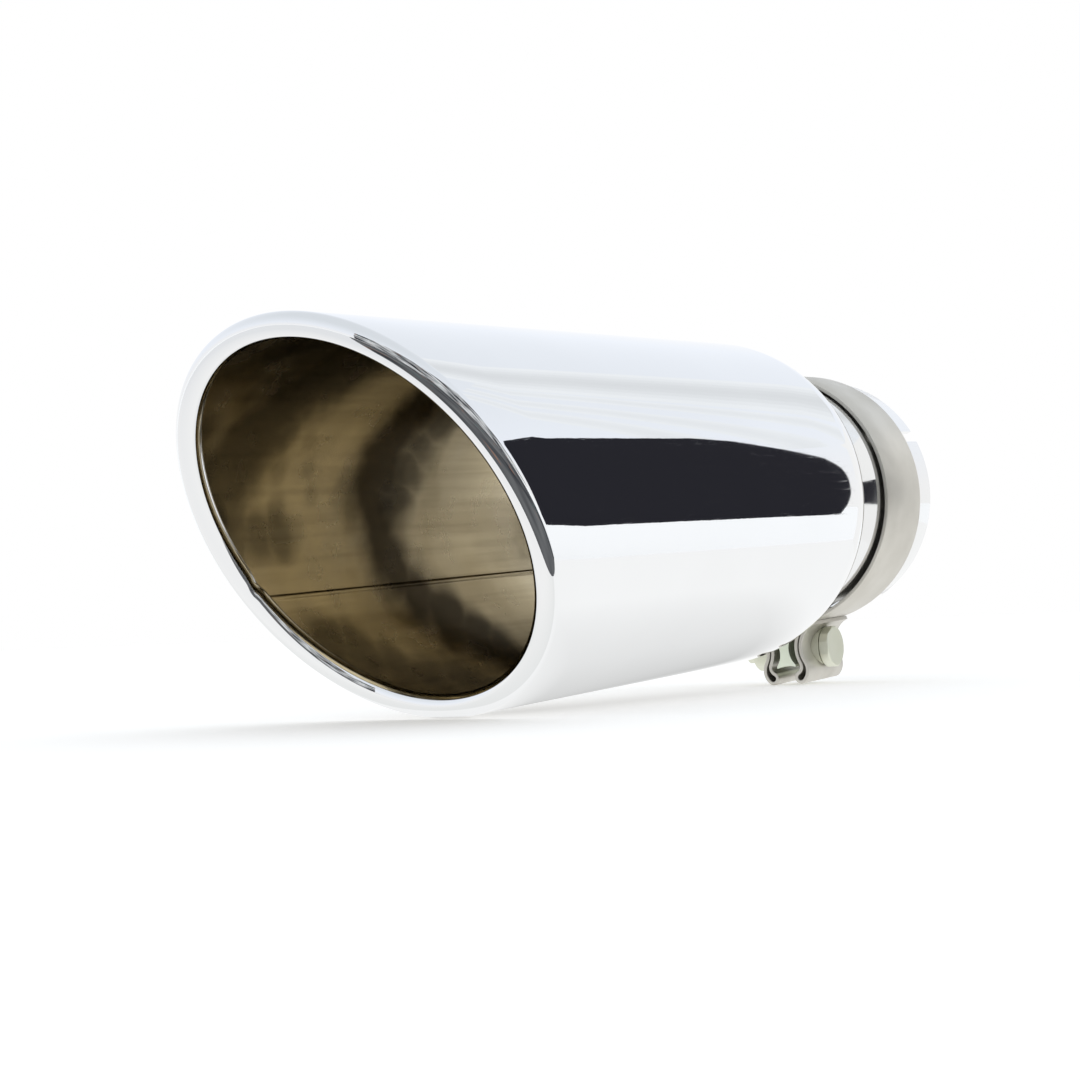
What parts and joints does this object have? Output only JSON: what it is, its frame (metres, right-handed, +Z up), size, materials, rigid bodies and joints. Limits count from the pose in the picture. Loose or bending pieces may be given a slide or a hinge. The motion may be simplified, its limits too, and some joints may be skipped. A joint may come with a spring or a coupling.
{
  "type": "exhaust tip",
  "caption": "Slip-on exhaust tip: polished tube with a slanted rolled-in lip, welded to a slotted inlet neck with a loose one-bolt band clamp.",
  "frame": {"origin": "middle of the inlet neck's open end, on its axis", "axes": "+X along the axis towards the mouth, +Z up to the mouth's long side, -X out of the inlet"},
  "size_m": [0.3038, 0.1016, 0.1125],
  "materials": {
    "polished_steel": "mirror-polished stainless steel outside, raw heat-tinted steel inside",
    "neck_steel": "polished stainless steel outside, raw steel bore",
    "weld_metal": "brushed stainless weld bead",
    "satin_steel": "satin stainless steel strip, fine brush marks along it",
    "zinc_plate": "pale green-grey zinc-plated steel"
  },
  "bodies": {
    "root": {"outer_shell": "polished_steel", "inlet_neck": "neck_steel", "neck_weld": "weld_metal", "clamp_band": "satin_steel", "clamp_spacer": "zinc_plate", "saddle_head": "zinc_plate", "saddle_nut": "zinc_plate", "clamp_bolt": "zinc_plate", "clamp_nut": "zinc_plate"}
  },
  "joints": []
}
